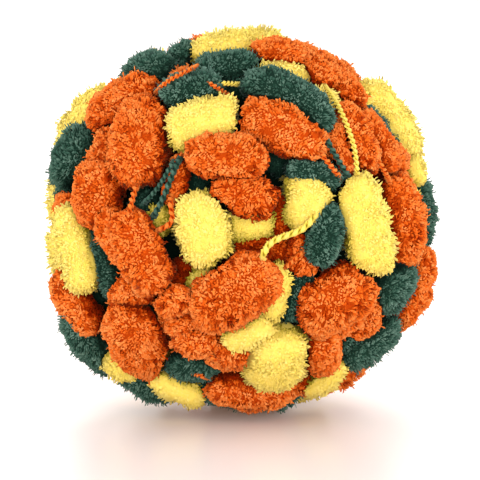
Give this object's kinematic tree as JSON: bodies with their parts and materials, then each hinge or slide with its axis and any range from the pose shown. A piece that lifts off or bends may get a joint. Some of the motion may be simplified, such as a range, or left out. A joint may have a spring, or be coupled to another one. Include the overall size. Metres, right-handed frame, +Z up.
{
  "type": "pom pom yarn ball",
  "caption": "Ball of soft pom pom yarn: plump pile pompoms in orange, yellow and dark green on a thin twisted yarn, wound round into a ball.",
  "frame": {"origin": "middle of the small flat spot that the ball stands on", "axes": "+Z up, -Y towards the viewer of the ball's front, +X to that viewer's right"},
  "size_m": [0.1771, 0.1774, 0.1723],
  "materials": {
    "orange_pile": "matte",
    "yellow_pile": "matte",
    "green_pile": "matte",
    "twisted_yarn": "matte"
  },
  "bodies": {
    "root": {"pompom_yarn_ball": "orange_pile"}
  },
  "joints": []
}
